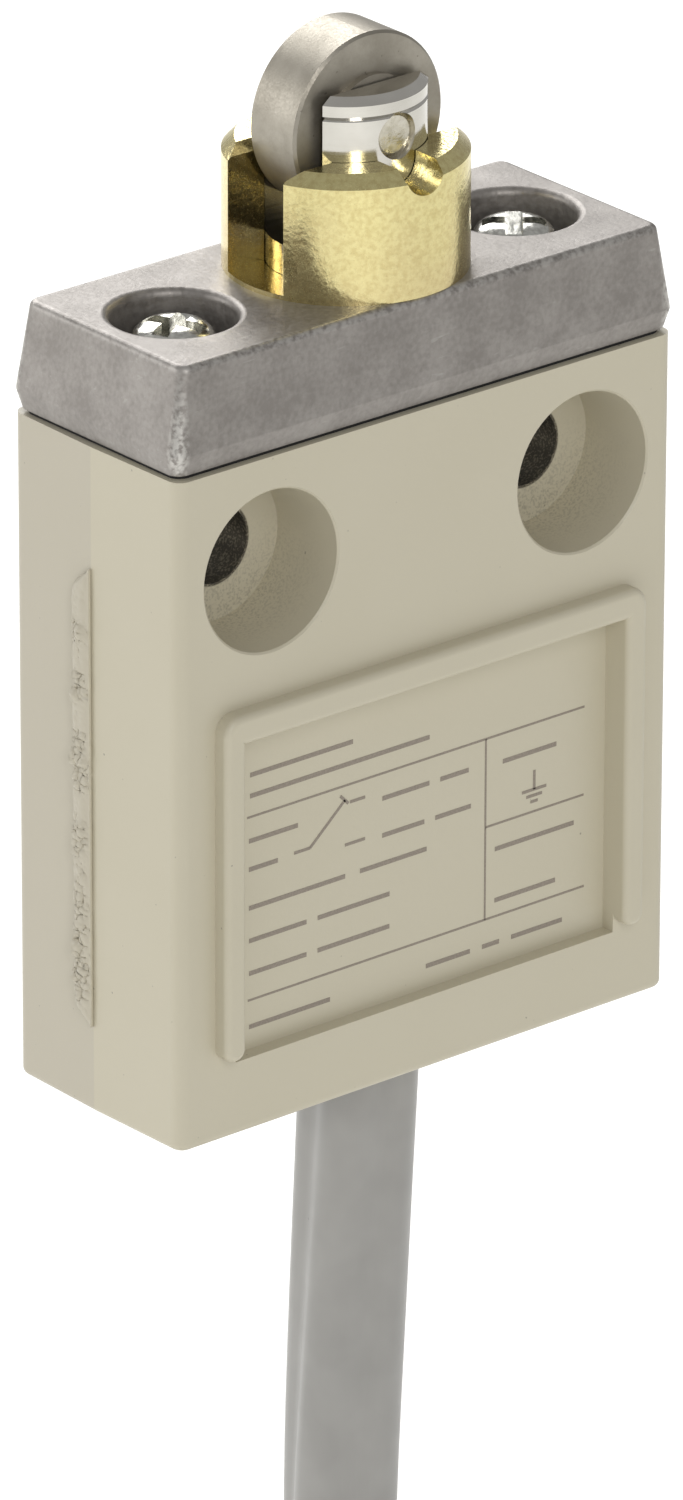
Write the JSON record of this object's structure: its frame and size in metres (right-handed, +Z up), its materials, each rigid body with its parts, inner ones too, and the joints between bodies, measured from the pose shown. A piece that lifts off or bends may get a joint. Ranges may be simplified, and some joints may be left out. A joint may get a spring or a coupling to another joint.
{
  "type": "limit switch",
  "caption": "Slim sealed limit switch: roller plunger in a slotted guide sleeve on a screwed head cover, die-cast case with counterbored mounting holes, and a potted cable.",
  "frame": {"origin": "midway between the two mounting holes, on the rear mounting face", "axes": "+Z up along the plunger towards the roller, +X to the right seen from the front, and the front label face looks along -Y"},
  "size_m": [0.1028, 0.0437, 0.2834],
  "materials": {
    "painted_case": "beige-grey baked paint on die-cast metal",
    "die_cast": "bare as-cast, tumbled",
    "yellow_chromate": "yellow chromate over turned metal",
    "polished_steel": "turned and polished",
    "sintered_steel": "matte sintered stainless",
    "zinc_steel": "bright zinc",
    "nitrile_rubber": "moulded",
    "spring_steel": "drawn wire",
    "phenolic": "moulded",
    "polyester_brown": "moulded",
    "acetal": "moulded",
    "terminal_brass": "stamped",
    "blade_copper": "rolled beryllium copper",
    "contact_silver": "plated",
    "film_sheet": "calendered film",
    "epoxy_resin": "cast",
    "pvc_grey": "extruded jacket",
    "pvc_black": "extruded",
    "pvc_red": "extruded",
    "pvc_white": "extruded",
    "pvc_green_yellow": "extruded",
    "bare_copper": "stranded",
    "tie_nylon": "woven band"
  },
  "bodies": {
    "housing": {"case": "painted_case", "head_cover": "die_cast", "cover_gasket": "nitrile_rubber", "cover_screws": "zinc_steel", "guide_sleeve": "yellow_chromate", "plunger_seal": "nitrile_rubber", "diaphragm": "nitrile_rubber", "spring_seat": "spring_steel", "return_spring": "spring_steel", "pusher_guide": "acetal", "switch_base": "phenolic", "switch_cover": "polyester_brown", "switch_seal": "nitrile_rubber", "contact_nc": "contact_silver", "contact_no": "contact_silver", "terminal_com": "terminal_brass", "terminal_no": "terminal_brass", "terminal_nc": "terminal_brass", "lead_black": "pvc_black", "lead_white": "pvc_white", "lead_red": "pvc_red", "lead_earth": "pvc_green_yellow", "earth_terminal": "terminal_brass", "earth_screw": "zinc_steel", "insulating_sheet": "film_sheet", "potting": "epoxy_resin", "cable": "pvc_grey", "cable_tail": "pvc_grey", "cable_coil": "pvc_grey", "coil_ties": "tie_nylon", "core_white": "pvc_white", "core_black": "pvc_black", "core_earth": "pvc_green_yellow", "core_red": "pvc_red", "core_strands": "bare_copper"},
    "plunger": {"plunger": "polished_steel", "roller_pin": "polished_steel", "pusher_retainer": "spring_steel", "overtravel_spring": "spring_steel"},
    "roller": {"roller": "sintered_steel"},
    "pusher": {"pusher": "acetal"},
    "button": {"switch_button": "acetal"},
    "blade": {"snap_blade": "blade_copper", "moving_contact": "contact_silver"}
  },
  "joints": [
    {"name": "plunger_slide", "type": "slide", "parent": "housing", "child": "plunger", "axis": [0, 0, -1], "range_m": [0, 0.0048], "stiffness_N_per_m": 2500, "springref_m": -0.002, "deforming": ["return_spring", "overtravel_spring"]},
    {"name": "roller_spin", "type": "hinge", "parent": "plunger", "child": "roller", "pos_m": [0, -0.008, 0.0243], "axis": [0, 1, 0], "continuous": true},
    {"name": "pusher_slide", "type": "slide", "parent": "housing", "child": "pusher", "axis": [0, 0, -1], "range_m": [0, 0.0017]},
    {"name": "button_slide", "type": "slide", "parent": "housing", "child": "button", "axis": [0, 0, -1], "range_m": [0, 0.0012]},
    {"name": "blade_snap", "type": "hinge", "parent": "housing", "child": "blade", "pos_m": [-0.0084, -0.008, -0.015], "axis": [0, 1, 0], "range_deg": [0, 1.93]}
  ],
  "couplings": [
    {"joint": "pusher_slide", "follows": "plunger_slide", "ratio": 0.354},
    {"joint": "button_slide", "follows": "plunger_slide", "ratio": 0.25},
    {"joint": "blade_snap", "follows": "plunger_slide", "rad_per_m": 6.98}
  ]
}
